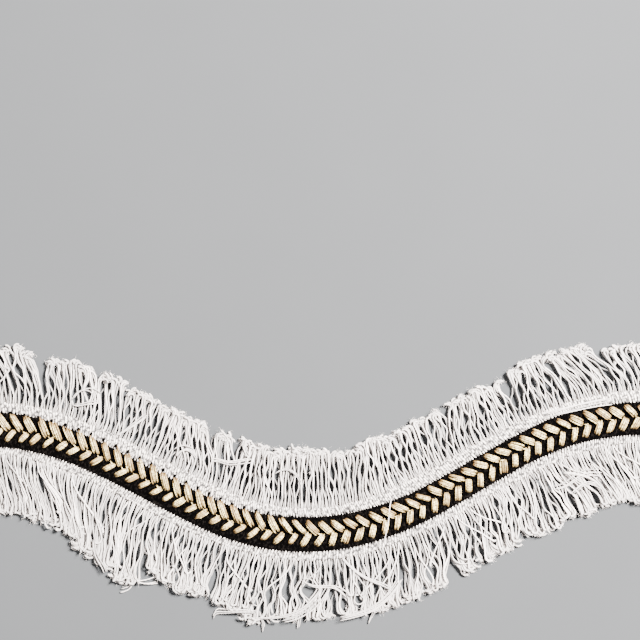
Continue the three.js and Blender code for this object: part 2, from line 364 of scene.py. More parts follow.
# %% The twist in a material
def twisted(tree, **values):
    """The ply and the fibre of the twist, read along the rod's own texture map."""
    length, turn = own_map(tree)
    made = placed(tree, twist_group, Length=length, Turn=turn, **values)
    return made["Ply"], made["Fibre"]


# %% [markdown]
# ## White yarn
# The fringe is soft spun cotton. It scatters light rather than shining, so the material is rough with a
# little sheen. No two yarns are quite as bright, which a value on each yarn gives: partly chance, and partly
# painted shade, darker the lower a yarn lies in the mat. The twist shows close up.

# %% White yarn material
# the dark end of a yarn's tone, painted shade for the yarns low in the mat; the groove and flank colours
# below are painted shade too
COTTON_SHADE = (0.034, 0.032, 0.030, 1)
COTTON_WHITE = (0.95, 0.825, 0.75, 1)
COTTON_GROOVE_SHADE = (0.40, 0.375, 0.36, 1)
COTTON_FLANK_SHADE = (0.06, 0.056, 0.054, 1)


def make_white_yarn():
    """Cotton white by each yarn's own tone, with painted shade in the grooves of the twist and down its
    flanks.
    """
    material, tree, shader = new_material("white_cotton_yarn", Roughness=0.85, Sheen_Weight=0.25,
                                          Sheen_Roughness=0.6, Specular_IOR_Level=0.25)
    ply, fibre = twisted(tree, Lay=0.8, Plies=2.0, Fibre_Scale=5.0)
    toned = blend_colour(tree, attribute_value(tree, "tone"), COTTON_SHADE, COTTON_WHITE)
    # painted shade: darker where the fibre noise marks the grooves of the twist
    groove = times(tree, faded(tree, fibre, start=0.62, end=0.3), 0.3)
    groove_shaded = blend_colour(tree, groove, toned, COTTON_GROOVE_SHADE)
    # painted shade down the yarn's flanks
    flank_painted_shade = placed(tree, flank_group, Level=0.93, Steep=0.5, Amount=0.85)["Shade"]
    tree.links.new(blend_colour(tree, flank_painted_shade, groove_shaded, COTTON_FLANK_SHADE), shader.inputs["Base Color"])
    raise_surface(tree, shader, arithmetic(tree, "ADD", ply, fibre), distance=0.03)
    return material


white_yarn = make_white_yarn()
print(white_yarn.name, "has", len(white_yarn.node_tree.nodes), "nodes")

# %% [markdown]
# ## The woven tape
# The tape is one cloth. Its weft yarns lie side by side across it, half a millimetre apart, and stand up as
# fine ribs. The ribs are in the mesh, so that they show from the side too: a flat section with rounded
# edges is carried along the wave, and its top rises and falls with a cosine of the length run. The white
# headings lie a little higher than the black band, and their ribs are deeper.

# %% Weave the tape
BAND_HALF = 3.2
TAPE_HALF = 5.35
RIB_PITCH = 0.5
RIB_LEAN = 0.25  # how far a rib slants along the tape for each millimetre across it
RIB_UNEVEN = 0.35
UNEVEN_STEP = 1.1
RINGS_PER_RIB = 5
TOP_COLUMNS = 37
BAND_TOP = 0.86
HEADING_RISE = 0.08
HEADING_RAMP = (-0.1, 0.3)  # where the rise begins and ends, from the band's edge outwards
BAND_RELIEF = 0.03
HEADING_RELIEF = 0.07
EDGE_ROUND = 0.35
EDGE_DROP = 0.45
UNDER_INSET = 0.05


def smooth_step(value, start, end):
    """0 up to start, 1 from end on, and 3 t squared - 2 t cubed between."""
    t = np.clip((value - start) / (end - start), 0, 1)
    return t * t * (3 - 2 * t)


def rib_count(along, across):
    """Ribs passed since the middle: (length + lean * distance across) / pitch + an uneven part."""
    grid = np.arange(-TABLE_END * 1.2, TABLE_END * 1.2, UNEVEN_STEP)
    uneven = np.random.default_rng(5).uniform(-RIB_UNEVEN, RIB_UNEVEN, (2, len(grid)))
    wobble = np.where(across > 0, np.interp(along, grid, uneven[0]), np.interp(along, grid, uneven[1]))
    return (along + RIB_LEAN * np.abs(across)) / RIB_PITCH + wobble


# %% The tape's mesh
def tape_shape():
    """A section carried along the wave, and each point's place on the tape when it is pulled straight.

    Top height = band top + heading rise + relief * cos(rib), falling as a quarter circle at each edge, over a
    flat underside on the table."""
    rings = int((ALONG_END - ALONG_START) / RIB_PITCH * RINGS_PER_RIB)
    along = np.linspace(ALONG_START, ALONG_END, rings)[:, None]
    across = np.linspace(-TAPE_HALF, TAPE_HALF, TOP_COLUMNS)[None]
    heading = smooth_step(np.abs(across), BAND_HALF + HEADING_RAMP[0], BAND_HALF + HEADING_RAMP[1])
    inward = np.clip((TAPE_HALF - np.abs(across)) / EDGE_ROUND, 0, 1)
    rounded = 1 - EDGE_DROP * (1 - np.sqrt(1 - (1 - inward) ** 2))
    relief = BAND_RELIEF + (HEADING_RELIEF - BAND_RELIEF) * heading
    ribs = np.cos(2 * np.pi * rib_count(along, across))
    top = (BAND_TOP + HEADING_RISE * heading) * rounded + relief * ribs
    under_edge = TAPE_HALF - UNDER_INSET
    under_across = np.array([under_edge, TAPE_HALF / 3, -TAPE_HALF / 3, -under_edge])[None]
    section_across = np.concatenate([np.repeat(across, rings, 0), np.repeat(under_across, rings, 0)], axis=1)
    section_z = np.concatenate([top, np.zeros((rings, under_across.shape[1]))], axis=1)
    x, y = on_tape(along, section_across)
    columns = section_z.shape[1]
    points = np.stack([x, y, section_z], axis=-1).reshape(-1, 3)

    index = np.arange(rings * columns).reshape(rings, columns)
    walls = walls_between(index[:-1], index[1:])
    caps = np.stack([index[0], index[-1, ::-1]])
    flat = np.stack([np.repeat(along, columns, 1), section_across], axis=-1).reshape(-1, 2)
    corner_uv = flat[np.concatenate([walls.ravel(), caps.ravel()])]
    return {"points": points, "faces": [walls, caps], "uv": corner_uv}, flat


tape, tape_flat = tape_shape()
print("the tape's mesh has", len(tape["points"]), "points")

# %% [markdown]
# ## Where the stitches sit
# The stitches follow each other at an even pitch, and both rows wander across the band together by a few
# tenths of a millimetre. Towards the left the whole plait has been sewn higher. The cloth needs these
# places before the stitches are made, because the needle has pulled small holes in the white where the
# upper row reaches it.

# %% Places of the stitches
STITCH_PITCH = 2.633
STITCH_PHASE = 0.42
PLAIT_RISE = (-6.0, 12.0)  # how far left of the middle the rise begins and ends
PLAIT_WANDER = np.array([
    # length along the tape, how far the whole plait has moved across it
    (-64, -0.2), (-52, 0.1), (-28, 0.05), (-20, -0.25), (-12, 0.0), (-4, 0.0), (4, -0.2), (12, -0.35),
    (20, -0.55), (28, -0.4), (44, -0.22), (62, -0.28)])


def stitch_stations():
    """Lengths along the tape of the stitches: whole steps of the pitch, set to meet the photograph's."""
    count = int((ALONG_END - ALONG_START - 2 * STITCH_PITCH) // STITCH_PITCH) + 1
    return (np.arange(count) - (count - 1) / 2) * STITCH_PITCH + STITCH_PHASE


def plait_risen(along):
    """How far the plait has risen on the band: 0 right of the rise and 1 left of it."""
    return smooth_step(-np.asarray(along, float), *PLAIT_RISE)


def plait_shift(along):
    """How far the plait has moved across the tape at that length."""
    return np.interp(along, *PLAIT_WANDER.T)


print("each row has", len(stitch_stations()), "stitches")

# %% [markdown]
# ## Where black meets white
# In the middle of the tape the black warp covers the weft, and at the edges the white weft shows. The
# border between them isn't straight. It wanders by half a millimetre either way, which a short table gives,
# and each point of the mesh carries its distance from it. The needle holes are a second value on it.

# %% Borders and needle holes
NEEDLE_HOLE = (-2.45, 3.4)  # from a stitch's station: along the tape, and out from the middle line
HOLE_HALF = (0.3, 0.42)
BORDERS = np.array([
    # length along the tape, how far out the white begins above the middle line and below it
    (-64, 3.35, 3.75), (-52, 2.95, 3.5), (-40, 2.75, 3.45), (-28, 2.8, 3.55), (-20, 2.85, 3.75),
    (-12, 3.25, 3.7), (-4, 3.65, 3.5), (4, 3.55, 3.5), (12, 3.25, 3.6), (20, 2.85, 3.65), (30, 2.9, 3.5),
    (44, 3.15, 3.2), (52, 3.4, 3.25), (62, 3.1, 3.65)])


def needle_holes(flat):
    """Where the upper stitches pull the heading's yarns apart: a Gaussian at each outer end, on the left."""
    stations = stitch_stations()
    nearest = stations[np.abs(flat[:, :1] - stations - NEEDLE_HOLE[0]).argmin(axis=1)] + NEEDLE_HOLE[0]
    off_along = (flat[:, 0] - nearest) / HOLE_HALF[0]
    off_across = (flat[:, 1] - NEEDLE_HOLE[1] - plait_shift(nearest)) / HOLE_HALF[1]
    return plait_risen(flat[:, 0]) * np.exp(-off_along ** 2 - off_across ** 2)


def white_depth(flat):
    """How far each point lies inside the white: its distance across, less the border's on that side."""
    upper, lower = (np.interp(flat[:, 0], BORDERS[:, 0], BORDERS[:, column]) for column in (1, 2))
    return np.abs(flat[:, 1]) - np.where(flat[:, 1] > 0, upper, lower)


tape_values = {"needle_hole": needle_holes(tape_flat), "white_depth": white_depth(tape_flat),
               "rib": rib_count(*tape_flat.T)}
print("the white lies up to", round(float(tape_values["white_depth"].max()), 2), "mm inside its border")

# %% [markdown]
# ## The tape's colours
# The white weft ends in rounded teeth on the black, four for every five ribs, and beside some of them a
# black spike runs out into the white. Both are finer than the mesh, so the shader cuts them, from the count
# of ribs that each point carries. The ribs are painted dark in their grooves, a painted shade, and a mottle
# breaks up both colours.

# %% Teeth and spikes
BLACK_WARP = ((0.0006, 0.0005, 0.0005, 1), (0.004, 0.0032, 0.0028, 1))
WHITE_WEFT = ((0.06, 0.055, 0.053, 1), (0.97, 0.85, 0.76, 1))
# painted shade in the grooves between the white ribs
WEFT_GROOVE_SHADE = (0.045, 0.041, 0.04, 1)
TEETH_PER_RIB = 0.8
SIDE_STEP = 300.2  # sets the numbers of the two sides' teeth apart
BITE_LEAST = 0.35
BITE_UNEVEN = 0.6
SPIKE_LENGTH = 0.7
WARP_PITCH = 0.42
MOTTLE_CELLS = (2.2, 1.5)  # a millimetre, along and across


def tooth_cut(tree, rib, across):
    """How far the black bites into the white: bite * d^2.4 + spike * d^4, where d goes from 0 on a tooth's
    crest to 1 midway between two teeth. A chance for each tooth gives its bite, and if it has a spike."""
    side_step = times(tree, arithmetic(tree, "SIGN", across), SIDE_STEP)
    tooth = arithmetic(tree, "ADD", times(tree, rib, TEETH_PER_RIB), side_step)
    number = arithmetic(tree, "ROUND", tooth)
    chance = add_node(tree, "ShaderNodeTexWhiteNoise", {"W": number}, noise_dimensions="1D").outputs[0]
    off_tooth = arithmetic(tree, "ABSOLUTE", arithmetic(tree, "SUBTRACT", tooth, number))
    between = times(tree, off_tooth, 2.0)
    bite = arithmetic(tree, "ADD", times(tree, chance, BITE_UNEVEN), BITE_LEAST)
    rounding = times(tree, arithmetic(tree, "POWER", between, 2.4), bite)
    spiked = faded(tree, chance, start=0.62, end=0.8)
    spike = times(tree, arithmetic(tree, "POWER", between, 4.0), spiked)
    return arithmetic(tree, "ADD", rounding, times(tree, spike, SPIKE_LENGTH))


# %% Tape material
def make_tape_material():
    """White inside the border, less what the teeth and the needle holes cut away, and black elsewhere. The
    bump is the warp passing over and under the ribs, and the mottle."""
    material, tree, shader = new_material("woven_black_and_white", Roughness=0.95, Sheen_Weight=0.0,
                                          Specular_IOR_Level=0.0)
    along, across = own_map(tree)
    rib = attribute_value(tree, "rib")
    off_crest = arithmetic(tree, "SUBTRACT", rib, arithmetic(tree, "ROUND", rib))
    groove = times(tree, arithmetic(tree, "ABSOLUTE", off_crest), 2.0)
    depth = attribute_value(tree, "white_depth")
    in_white = arithmetic(tree, "SUBTRACT", depth, tooth_cut(tree, rib, across))
    hole = faded(tree, attribute_value(tree, "needle_hole"), start=0.25, end=0.42)
    whole = arithmetic(tree, "SUBTRACT", 1.0, hole)
    white = times(tree, faded(tree, in_white, start=-0.15, end=-0.09), whole)

    grid = add_node(tree, "ShaderNodeCombineXYZ", {
        "X": times(tree, along, MOTTLE_CELLS[0]),
        "Y": times(tree, across, MOTTLE_CELLS[1])})
    mottle = add_node(tree, "ShaderNodeTexNoise", {"Vector": grid.outputs[0], "Scale": 1.0, "Detail": 2.0,
                                                   "Roughness": 0.6}).outputs["Fac"]
    black_tone = blend_colour(tree, faded(tree, mottle, start=0.48, end=0.7), *BLACK_WARP)
    crest_tone = blend_colour(tree, faded(tree, mottle, start=0.42, end=0.58), *WHITE_WEFT)
    # painted shade: darker towards a rib's groove
    groove_shade = times(tree, arithmetic(tree, "POWER", groove, 1.2), 0.95)
    white_tone = blend_colour(tree, groove_shade, crest_tone, WEFT_GROOVE_SHADE)
    tree.links.new(blend_colour(tree, white, black_tone, white_tone), shader.inputs["Base Color"])
    warp = arithmetic(tree, "SINE", times(tree, across, 2 * np.pi / WARP_PITCH))
    over_under = times(tree, warp, arithmetic(tree, "SUBTRACT", 0.5, groove))
    height = arithmetic(tree, "ADD", times(tree, over_under, 0.7), mottle)
    raise_surface(tree, shader, height, distance=0.06)
    return material


woven_tape = add_piece("woven_tape", tape, make_tape_material(), **tape_values)

# %% [markdown]
# ## How the fringe is combed
# The yarns leave the heading straight, bend over in their middle and straighten at their tips, and how far
# they sweep changes slowly along the tape. Their tips end in tufts of different reach. Both are short
# tables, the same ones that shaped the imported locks. The sweep is read with straight lines between its
# rows, and a tuft goes on to where the next begins.

# %% Combing and tufts
UPPER_COMB = np.array([
    # length along the tape, sweep of the tip along it
    (-80, -1.0), (-70, -2.2), (-58, -2.7), (-46, -2.2), (-38, -1.2), (-30, -3.6), (-25, -4.0), (-20, -1.5),
    (-10, -2.0), (-2, 0.0), (6, 1.0), (10, 3.6), (15, 1.9), (26, 0.8), (34, 2.6), (42, 0.2), (50, 0.0),
    (58, -3.0), (65, -4.0), (80, -1.5)])
LOWER_COMB = np.array([
    (-80, 1.0), (-68, 4.6), (-60, 6.8), (-54, 7.2), (-50, 6.5), (-44, 4.4), (-36, 3.7), (-28, 2.4),
    (-20, 1.4), (-14, -0.2), (6, -0.6), (12, -2.2), (20, -1.4), (28, -3.6), (36, -2.0), (42, -3.2),
    (46, 0.8), (50, 3.6), (56, 4.2), (64, 5.4), (72, 2.0), (80, 0.0)])
UPPER_TUFTS = np.array([
    # where the tuft's tips begin, how far they stand from the middle line
    (-80.0, 15.9), (-63.3, 16.0), (-48.1, 15.5), (-40.5, 15.6), (-29.3, 15.8), (-23.4, 16.5), (-20.4, 15.9),
    (-11.9, 17.1), (1.4, 16.4), (7.2, 15.5), (21.9, 14.9), (34.6, 15.2), (46.7, 15.6), (62.3, 14.8)])
LOWER_TUFTS = np.array([
    (-80.0, 16.7), (-50.7, 16.6), (-44.2, 18.2), (-40.7, 18.9), (-34.0, 20.8), (-29.8, 16.9), (-16.8, 17.1),
    (-11.8, 18.8), (-7.9, 17.3), (1.4, 17.3), (11.7, 17.1), (20.6, 15.9), (25.5, 16.7), (35.5, 17.1),
    (46.9, 17.3), (55.0, 16.9)])
GATHER = 0.14
GATHER_FROM = 0.6
TUFT_SHOULDER = 0.9


def sway(share):
    """How much of its sweep a yarn has made at a share of its way out: 3.5 s^2.5 - 2.5 s^3.5."""
    return share ** 2.5 * (3.5 - 2.5 * share)


def comb_tips(root, side, comb, tufts):
    """Where the tip of each yarn lies along the tape, and how far out.

    The tip is the root plus the comb's sweep, drawn towards the middle of its tuft by gather times its
    distance from there. The reach falls off as a fourth power towards the tuft's edges."""
    combed = root + np.interp(root, *comb.T)
    tuft = np.searchsorted(tufts[:, 0], combed, side="right") - 1
    starts = np.maximum(tufts[:, 0], ALONG_START)
    ends = np.append(starts[1:], ALONG_END)
    from_middle = combed - (starts + ends)[tuft] / 2
    towards_edge = np.minimum(1, np.abs(from_middle) / ((ends - starts)[tuft] / 2))
    reach = tufts[tuft, 1] - TUFT_SHOULDER * towards_edge ** 4
    spread = spread_at(combed, side * reach)
    return combed - GATHER * np.clip(spread - GATHER_FROM, 0, None) * from_middle, reach


print("the tips stand in", len(UPPER_TUFTS), "tufts above and", len(LOWER_TUFTS), "below")

# %% [markdown]
# ## Slits between the yarns
# Fine yarns cling together, so a fringe shows long narrow slits between small clumps, and a yarn's
# neighbours near the heading aren't its neighbours at the tip. Six sets of clumps do that, each with a
# stretch of the yarn where it pulls. The few large slits of the photograph are opened one by one, from a
# table. One that runs past the tips is a notch.

# %% Clumps and slits
CLUMP_SETS = [
    {"spacing": 0.52, "pull": 0.85, "start": -0.12, "end": 0.14},
    {"spacing": 0.82, "pull": 0.86, "start": 0.03, "end": 0.37},
    {"spacing": 1.05, "pull": 0.88, "start": 0.2, "end": 0.55},
    {"spacing": 1.3, "pull": 0.88, "start": 0.38, "end": 0.75},
    {"spacing": 1.6, "pull": 0.5, "start": 0.56, "end": 0.94},
    {"spacing": 2.4, "pull": 0.35, "start": 0.8, "end": 1.35},
]
UPPER_SLITS = np.array([
    # length along the tape, where it begins and ends out from the middle line, half its width
    (-62.9, 11.6, 20.0, 0.75), (-59.2, 10.7, 14.3, 0.25), (-54.3, 9.4, 11.8, 0.35), (-53.9, 13.6, 18.5, 0.35),
    (-41.9, 11.2, 14.9, 0.45), (-41.4, 7.8, 10.6, 0.3), (-35.8, 6.9, 8.7, 0.25), (-33.3, 9.6, 11.0, 0.35),
    (-31.5, 5.6, 8.2, 0.25), (-29.3, 11.0, 18.0, 0.5), (-28.2, 7.8, 10.5, 0.25), (-23.6, 10.8, 20.0, 1.2),
    (-21.5, 7.4, 10.5, 0.3), (-17.9, 6.1, 9.9, 0.3), (-13.7, 10.1, 11.8, 0.25), (-11.0, 13.6, 15.6, 0.3),
    (-9.0, 5.6, 7.8, 0.25), (-7.7, 9.6, 12.7, 0.5), (-5.6, 14.0, 15.6, 0.3), (-1.6, 9.2, 12.2, 0.35),
    (4.1, 10.5, 13.1, 0.2), (9.9, 12.2, 18.0, 0.5), (11.4, 8.7, 11.4, 0.35), (12.2, 11.4, 17.4, 0.45),
    (12.3, 5.4, 7.7, 0.2), (15.7, 9.6, 11.4, 0.3), (21.7, 10.5, 12.8, 0.45), (21.7, 6.5, 9.6, 0.35),
    (25.5, 10.1, 11.8, 0.25), (30.2, 9.6, 14.0, 0.3), (34.0, 11.8, 17.0, 0.4), (36.2, 7.8, 12.2, 0.2),
    (43.1, 6.9, 10.0, 0.3), (44.8, 13.0, 18.0, 0.35), (46.8, 8.6, 18.0, 0.8), (51.4, 9.6, 12.7, 0.3),
    (61.9, 13.0, 18.0, 0.6)])
LOWER_SLITS = np.array([
    (-66.4, 6.8, 9.6, 0.25), (-58.6, 10.0, 12.2, 0.3), (-55.2, 12.8, 15.4, 0.4), (-54.8, 5.8, 8.2, 0.2),
    (-52.0, 5.8, 8.2, 0.2), (-49.0, 5.8, 7.8, 0.25), (-39.1, 10.5, 11.8, 0.3), (-38.2, 13.4, 15.4, 0.35),
    (-35.3, 11.8, 14.0, 0.3), (-34.2, 6.5, 9.1, 0.35), (-30.0, 5.6, 7.7, 0.25), (-29.3, 7.8, 10.5, 0.3),
    (-27.1, 5.8, 8.7, 0.25), (-25.1, 10.8, 12.6, 0.35), (-24.6, 6.5, 10.0, 0.3), (-19.6, 10.8, 12.0, 0.35),
    (-9.4, 12.8, 14.9, 0.35), (-7.7, 9.2, 10.5, 0.3), (-5.6, 11.4, 12.8, 0.4), (-2.3, 8.4, 13.6, 1.3),
    (5.6, 13.6, 15.0, 0.3), (9.0, 5.8, 8.2, 0.25), (17.9, 9.8, 15.9, 1.15), (20.9, 11.4, 19.5, 1.4),
    (22.2, 5.4, 7.7, 0.25), (27.3, 5.8, 10.5, 0.5), (34.7, 5.6, 8.2, 0.3), (35.8, 12.4, 19.0, 0.7),
    (38.9, 8.3, 10.0, 0.3), (42.5, 5.4, 7.7, 0.35), (44.5, 5.4, 6.9, 0.3), (47.6, 7.8, 12.2, 0.7),
    (49.6, 9.6, 16.0, 0.9), (53.4, 5.4, 7.4, 0.4), (55.4, 11.6, 19.0, 0.9), (58.1, 6.8, 9.6, 0.3)])
print(len(UPPER_SLITS), "slits above,", len(LOWER_SLITS), "below and", len(CLUMP_SETS), "sets of clumps")

# %% How the yarns part
SLIT_REACH = 1.6
SIDE_BLUR = 0.08  # a yarn nearer than this to a slit's line is only partly on one side


def clump_pull(place, spacing, pull, rng):
    """Each yarn's move towards the middle of its clump, and its distance from there in half spacings.

    The clumps' middles lie spacing apart, give or take a third, and each pulls as hard as chance has it."""
    count = int((TABLE_END * 2.6) / spacing)
    middles = -TABLE_END * 1.3 + spacing * (np.arange(count) + rng.uniform(-0.33, 0.33, count))
    strength = np.minimum(pull * rng.uniform(0.45, 1.4, count), 0.95)
    nearest = np.searchsorted((middles[1:] + middles[:-1]) / 2, place)
    return strength[nearest] * (middles[nearest] - place), np.abs(middles[nearest] - place) / (spacing / 2)


def swell(share, start, end):
    """A smooth hump between start and end: the square of a half sine."""
    return np.sin(np.pi * np.clip((share - start) / (end - start), 0, 1)) ** 2


def open_slits(along, out, slits):
    """Parts the yarns at each slit: a push of half its width away from its line, which dies away with the
    distance from it and swells between the slit's two ends. A yarn keeps to the side where it mostly lies."""
    for at, begin, end, half_width in slits:
        off = along - at
        opening = swell(out, begin, end)
        met = np.maximum(opening.sum(axis=1, keepdims=True), 1e-6)
        mean_off = (off * opening).sum(axis=1, keepdims=True) / met
        side_of = np.tanh(mean_off / SIDE_BLUR)
        along = along + half_width * side_of * np.exp(-np.abs(off) / SLIT_REACH) * opening
    return along


# %% [markdown]
# ## The fringe
# Each side has nine hundred yarns. They start in the heading's edge, sink to the table within a few
# millimetres and lie on each other in a mat under a millimetre thick. Most tips curl over in a small hook,
# away from a notch where there is one, and some are cut straight. Here and there a yarn lies loose across
# the others, on the lower side mostly.

# %% How the tips curl
def turn_ends(plan, share, turn, start):
    """Curls the ends in plan: each step is turned by an angle that grows evenly from start to the tip, and
    the steps are added up again."""
    step = np.diff(plan, axis=1)
    middle = (share[1:] + share[:-1]) / 2
    angle = turn[:, None] * np.clip((middle - start[:, None]) / (1 - start[:, None]), 0, 1)
    turned = np.stack([step[..., 0] * np.cos(angle) - step[..., 1] * np.sin(angle),
                       step[..., 0] * np.sin(angle) + step[..., 1] * np.cos(angle)], axis=-1)
    return np.concatenate([plan[:, :1], plan[:, :1] + np.cumsum(turned, axis=1)], axis=1)


half_turn = turn_ends(np.array([[(0.0, 0.0), (1.0, 0.0), (2.0, 0.0)]]), np.linspace(0, 1, 3), np.array([2.0]),
                      np.array([0.0]))
print("two steps of 1 mm, curled, end at", half_turn[0, -1].round(2))

# %% Paths of one side's yarns
YARNS_PER_SIDE = 900
YARN_RINGS = 17
YARN_HALF = 0.122
ROOT_OUT = 4.7
ROOT_INSET = 0.25
MAT_HEIGHT = 0.86
HOOK_REACH = 0.85
TIP_ROUND = 0.6
LOCK_STEP = 1.7  # mm between the places where the reach and the curl of neighbouring yarns change
NOTCH_FROM = 16.0  # a slit that ends further out than this is a notch
NOTCH_NEAR = 1.8
LOOSE_LEVEL = 1.05


def fringe_paths(side, comb, tufts, slits, habit, rng):
    """Paths of one side's yarns, (yarns, rings, 3), the share of its way at each ring, and each yarn's level.

    Along = root + (tip - root) * sway + clump pulls + a slow wander. Out goes evenly from the heading to the
    reach. Height goes from the root's to the mat's to the tip's by smooth steps."""
    count = YARNS_PER_SIDE
    share = 1 - (1 - np.linspace(0, 1, YARN_RINGS)) ** 1.6
    root = np.linspace(ALONG_START + ROOT_INSET, ALONG_END - ROOT_INSET, count)
    root = root + rng.uniform(-0.12, 0.12, count)
    tip, reach = comb_tips(root, side, comb, tufts)
    lock_grid = np.arange(-TABLE_END * 1.3, TABLE_END * 1.3, LOCK_STEP)
    lock_reach = np.interp(tip, lock_grid, rng.normal(0, 0.35, len(lock_grid)))
    lock_turn = np.interp(tip, lock_grid, rng.normal(0, 1.0, len(lock_grid)))
    loose = rng.random(count) < habit["loose"]
    tip = tip + np.where(loose, rng.normal(0, 3.0, count), rng.normal(0, habit["scatter"], count))
    tip = np.where(loose, np.clip(tip, ALONG_START + 2, ALONG_END - 2), tip)
    hooked = rng.random(count) < habit["hooked"]
    reach = reach + HOOK_REACH * hooked + lock_reach + rng.normal(0, 0.16, count)
    reach -= np.where(loose, rng.uniform(1, 5, count), 0)

    along = root[:, None] + (tip - root)[:, None] * sway(share)
    for clumps in CLUMP_SETS:
        centre = sway(min(1.0, (clumps["start"] + clumps["end"]) / 2)) if clumps["start"] > 0 else 0.0
        place = root + (tip - root) * centre
        pull, off_middle = clump_pull(place, clumps["spacing"], clumps["pull"], rng)
        along += (pull * np.where(loose, 0.3, 1.0))[:, None] * swell(share, clumps["start"], clumps["end"])
    reach -= TIP_ROUND * off_middle ** 2
    phase, speed = rng.uniform(0, 2 * np.pi, (2, count, 1)), rng.uniform(0.6, 2.0, (2, count, 1))
    along += habit["wander"] * np.sqrt(share) * np.sin(2 * np.pi * speed[0] * share + phase[0])
    out = ROOT_OUT + (reach - ROOT_OUT)[:, None] * share
    along = np.where(loose[:, None], along, open_slits(along, out, slits))
    plan = np.stack(on_tape(along, side * out), axis=-1)
    turn = np.where(hooked, rng.normal(2.5, 0.55, count), rng.uniform(0, 0.6, count))
    notches = slits[slits[:, 2] > NOTCH_FROM, 0]
    off_notch = along[:, -1:] - notches
    off_notch = off_notch[np.arange(count), np.abs(off_notch).argmin(axis=1)]
    lock_side = np.sign(lock_turn + rng.normal(0, 0.3, count))
    turn *= np.where(np.abs(off_notch) < NOTCH_NEAR, -side * np.sign(off_notch), lock_side)
    plan = turn_ends(plan, share, turn, rng.uniform(0.83, 0.90, count))

    level = np.where(loose, LOOSE_LEVEL, rng.random(count))
    lying = YARN_HALF + MAT_HEIGHT * level
    rooted = rng.uniform(0.3, 0.93, count)
    ended = YARN_HALF + MAT_HEIGHT * rng.uniform(0, 1.1, count)
    down = smooth_step(share, 0.0, 0.4)
    late = smooth_step(share, 0.55, 1.0)
    height = rooted[:, None] * (1 - down) + lying[:, None] * down + (ended - lying)[:, None] * late
    height += 0.05 * np.sin(2 * np.pi * speed[1] * share + phase[1])
    height = np.maximum(height, YARN_HALF)
    return np.concatenate([plan, height[..., None]], axis=-1), share, level


# %% Lay both sides
YARN_SIDES = 6
TIP_OPEN = 1.4
TIP_CLOSE = 0.7
# what differs between the sides: the share of loose yarns, how far a tip strays along the tape, how far a
# yarn wanders on its way, and the share of tips that curl over
UPPER_HABIT = {"loose": 1 / 100, "scatter": 0.25, "wander": 0.16, "hooked": 0.93}
LOWER_HABIT = {"loose": 1 / 16, "scatter": 0.6, "wander": 0.24, "hooked": 0.65}


def add_fringe(name, side, comb, tufts, slits, habit, rng):
    """One side's yarns as one piece. A yarn opens out near its tip to almost twice the width, and is painted
    brighter the higher it lies, a painted shade for the other yarns' shadow on the lower ones."""
    paths, share, level = fringe_paths(side, comb, tufts, slits, habit, rng)
    tall = YARN_HALF * rng.uniform(0.85, 1.1, (len(paths), 1)) * np.ones_like(share)
    wide = tall * (1 + TIP_OPEN * share ** 5 - TIP_CLOSE * share ** 40)
    # painted light and shade: brighter the higher a yarn lies and darker the lower, with a share of chance;
    # low yarns are painted lighter again near the heading and at the tips, and every yarn is darker towards
    # its tip
    painted_light = 1.05 * level ** 1.2 * rng.uniform(0.45, 1.1, len(paths))
    near_heading = (1 - smooth_step(share, 0.02, 0.12)) * np.maximum(0, 0.7 - painted_light)[:, None]
    near_tip = smooth_step(share, 0.66, 0.92) * np.maximum(0, 0.62 - painted_light)[:, None]
    tone = np.clip(painted_light[:, None] + near_heading + near_tip, 0, 1) * (1 - 0.3 * smooth_step(share, 0.72, 0.96))
    return add_rods(name, paths, wide, tall, YARN_SIDES, white_yarn, tone=tone), paths


upper_yarns, upper_paths = add_fringe("upper_yarns", 1, UPPER_COMB, UPPER_TUFTS, UPPER_SLITS, UPPER_HABIT,
                                      np.random.default_rng(11))
lower_yarns, lower_paths = add_fringe("lower_yarns", -1, LOWER_COMB, LOWER_TUFTS, LOWER_SLITS, LOWER_HABIT,
                                      np.random.default_rng(12))

# %% [markdown]
# ## Fluff
# Soft cotton sheds fine fibres, most of all at the tips, where they blur the fringe's outline. They are
# rods too, less than a fifth as thick as a yarn, that start on a yarn's outer part and bend away from it.

# %% Fluff on the tips
HAIRS_PER_SIDE = 3600
HAIR_RINGS = 5
HAIR_SIDES = 3
HAIR_HALF = 0.022


def fluff_paths(paths, rng):
    """Arcs of fibre: from a yarn's point, equal steps whose direction turns evenly, rising a little."""
    count = HAIRS_PER_SIDE
    yarn = rng.integers(0, len(paths), count)
    ring = YARN_RINGS - 1 - np.floor(rng.exponential(1.9, count)).astype(int).clip(0, YARN_RINGS - 3)
    start = paths[yarn, ring]
    away = start - paths[yarn, ring - 1]
    heading = np.arctan2(away[:, 1], away[:, 0]) + rng.normal(0, 1.5, count)
    bend = rng.normal(0, 2.4, count)[:, None] * np.linspace(0, 1, HAIR_RINGS - 1)
    step = (rng.uniform(0.4, 1.1, count) / (HAIR_RINGS - 1))[:, None]
    climb = step * rng.uniform(-0.1, 0.28, count)[:, None]
    moves = np.stack([step * np.cos(heading[:, None] + bend), step * np.sin(heading[:, None] + bend),
                      climb * np.ones_like(bend)], axis=-1)
    line = np.concatenate([start[:, None], start[:, None] + np.cumsum(moves, axis=1)], axis=1)
    line[..., 2] = np.maximum(line[..., 2], HAIR_HALF)
    return line


def add_fluff(name, paths, rng):
    """One side's loose fibres as one piece, each tapering to half its thickness."""
    line = fluff_paths(paths, rng)
    half = HAIR_HALF * np.linspace(1.0, 0.5, HAIR_RINGS) * np.ones((len(line), 1))
    return add_rods(name, line, half, half, HAIR_SIDES, white_yarn, tone=1.0)


upper_fluff = add_fluff("upper_fluff", upper_paths, np.random.default_rng(21))
lower_fluff = add_fluff("lower_fluff", lower_paths, np.random.default_rng(22))
